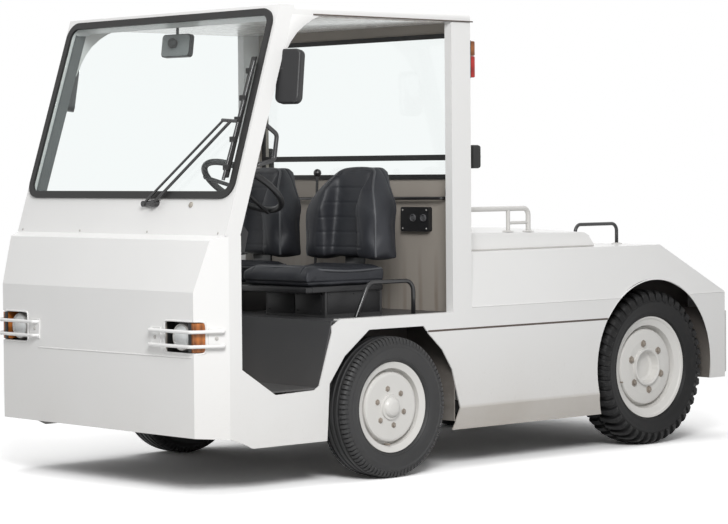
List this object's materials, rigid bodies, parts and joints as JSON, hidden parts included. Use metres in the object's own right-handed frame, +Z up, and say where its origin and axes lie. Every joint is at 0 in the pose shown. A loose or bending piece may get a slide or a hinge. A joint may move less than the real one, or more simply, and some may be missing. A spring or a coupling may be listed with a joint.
{
  "type": "airport baggage tug",
  "caption": "Baggage towing tug with an open two-seat cab, a flat nose, a low rear body over the engine, round lamps behind bar guards and a rear tow jaw with a drop pin.",
  "frame": {"origin": "middle of the tug's bounding box, on the ground", "axes": "+X to the tug's left, -Y forward, +Z up"},
  "size_m": [1.5442, 3.223, 1.894],
  "materials": {
    "cab_back": "satin beige paint",
    "cab_floor": "dark satin paint",
    "dashboard": "black plastic",
    "engine": "black chassis paint",
    "frame": "black chassis paint",
    "front_axle": "black chassis paint",
    "front_sides": "gloss cream paint",
    "hand_hoops": "black paint",
    "hand_lever": "black paint",
    "headlamps": "clear lens",
    "hitch": "black chassis paint",
    "hitch_pin": "bare steel",
    "hood": "gloss cream paint",
    "hood_rails": "gloss cream paint",
    "lamp_boxes": "black plastic",
    "lamp_guards": "gloss cream paint",
    "leaf_springs": "black chassis paint",
    "left_front_tyre": "rubber",
    "left_front_wheel": "gloss cream paint",
    "left_knuckle": "black chassis paint",
    "left_rear_tyre": "rubber",
    "left_rear_wheel": "gloss cream paint",
    "mirrors": "black plastic",
    "nose": "gloss cream paint",
    "pedals": "black chassis paint",
    "rear_axle": "black chassis paint",
    "rear_buffers": "black rubber",
    "rear_deck": "gloss cream paint",
    "rear_lamps": "red and amber lens",
    "rear_pillars": "gloss cream paint",
    "rear_sides": "gloss cream paint",
    "right_front_tyre": "rubber",
    "right_front_wheel": "gloss cream paint",
    "right_knuckle": "black chassis paint",
    "right_rear_tyre": "rubber",
    "right_rear_wheel": "gloss cream paint",
    "roof": "gloss cream paint",
    "seat_backs": "black vinyl",
    "seat_base": "dark satin paint",
    "seat_cushions": "black vinyl",
    "side_skirts": "gloss cream paint",
    "steering_column": "black plastic",
    "steering_wheel": "black plastic",
    "tail_panel": "gloss cream paint",
    "tie_rod": "black chassis paint",
    "turn_lamps": "amber lens",
    "wall_box": "black plastic",
    "wheel_houses": "dark satin paint",
    "window_glass": "clear glass",
    "window_seals": "black rubber",
    "windscreen_frame": "gloss cream paint",
    "wiper": "black paint"
  },
  "bodies": {
    "chassis": {"cab_back": "cab_back", "cab_floor": "cab_floor", "dashboard": "dashboard", "engine": "engine", "frame": "frame", "front_axle": "front_axle", "front_sides": "front_sides", "hand_hoops": "hand_hoops", "hand_lever": "hand_lever", "headlamps": "headlamps", "hitch": "hitch", "lamp_boxes": "lamp_boxes", "lamp_guards": "lamp_guards", "leaf_springs": "leaf_springs", "mirrors": "mirrors", "nose": "nose", "pedals": "pedals", "rear_axle": "rear_axle", "rear_buffers": "rear_buffers", "rear_deck": "rear_deck", "rear_lamps": "rear_lamps", "rear_pillars": "rear_pillars", "rear_sides": "rear_sides", "roof": "roof", "seat_backs": "seat_backs", "seat_base": "seat_base", "seat_cushions": "seat_cushions", "side_skirts": "side_skirts", "steering_column": "steering_column", "tail_panel": "tail_panel", "turn_lamps": "turn_lamps", "wall_box": "wall_box", "wheel_houses": "wheel_houses", "window_glass": "window_glass", "window_seals": "window_seals", "windscreen_frame": "windscreen_frame", "wiper": "wiper"},
    "hood": {"hood": "hood", "hood_rails": "hood_rails"},
    "left_steer": {"left_knuckle": "left_knuckle"},
    "right_steer": {"right_knuckle": "right_knuckle"},
    "tie_link": {"tie_rod": "tie_rod"},
    "left_front_roller": {"left_front_wheel": "left_front_wheel", "left_front_tyre": "left_front_tyre"},
    "right_front_roller": {"right_front_wheel": "right_front_wheel", "right_front_tyre": "right_front_tyre"},
    "left_rear_roller": {"left_rear_wheel": "left_rear_wheel", "left_rear_tyre": "left_rear_tyre"},
    "right_rear_roller": {"right_rear_wheel": "right_rear_wheel", "right_rear_tyre": "right_rear_tyre"},
    "steering_wheel": {"steering_wheel": "steering_wheel"},
    "hitch_pin": {"hitch_pin": "hitch_pin"}
  },
  "joints": [
    {"name": "left_steering", "type": "hinge", "parent": "chassis", "child": "left_steer", "pos_m": [0.59, -0.615, 0.287], "axis": [0, 0, 1], "range_deg": [-35, 35]},
    {"name": "right_steering", "type": "hinge", "parent": "chassis", "child": "right_steer", "pos_m": [-0.59, -0.615, 0.287], "axis": [0, 0, 1], "range_deg": [-35, 35]},
    {"name": "tie_rod_turn", "type": "hinge", "parent": "left_steer", "child": "tie_link", "pos_m": [0.59, -0.525, 0.231], "axis": [0, 0, 1], "range_deg": [-35, 35]},
    {"name": "steering_wheel_turn", "type": "hinge", "parent": "chassis", "child": "steering_wheel", "pos_m": [0.293, -1.038, 1.186], "axis": [0, 0.5736, 0.8192], "range_deg": [-460, 460]},
    {"name": "left_front_roll", "type": "hinge", "parent": "left_steer", "child": "left_front_roller", "pos_m": [0.662, -0.615, 0.287], "axis": [1, 0, 0], "continuous": true},
    {"name": "right_front_roll", "type": "hinge", "parent": "right_steer", "child": "right_front_roller", "pos_m": [-0.662, -0.615, 0.287], "axis": [1, 0, 0], "continuous": true},
    {"name": "left_rear_roll", "type": "hinge", "parent": "chassis", "child": "left_rear_roller", "pos_m": [0.588, 1.035, 0.349], "axis": [1, 0, 0], "continuous": true},
    {"name": "right_rear_roll", "type": "hinge", "parent": "chassis", "child": "right_rear_roller", "pos_m": [-0.588, 1.035, 0.349], "axis": [1, 0, 0], "continuous": true},
    {"name": "hood_lift", "type": "hinge", "parent": "chassis", "child": "hood", "pos_m": [0, 0.786, 0.908], "axis": [-1, 0, 0], "range_deg": [0, 60]},
    {"name": "pin_lift", "type": "slide", "parent": "chassis", "child": "hitch_pin", "axis": [0, 0, 1], "range_m": [0, 0.11]}
  ],
  "couplings": [
    {"joint": "right_steering", "follows": "left_steering", "ratio": 1},
    {"joint": "tie_rod_turn", "follows": "left_steering", "ratio": -1},
    {"joint": "steering_wheel_turn", "follows": "left_steering", "ratio": 13}
  ]
}
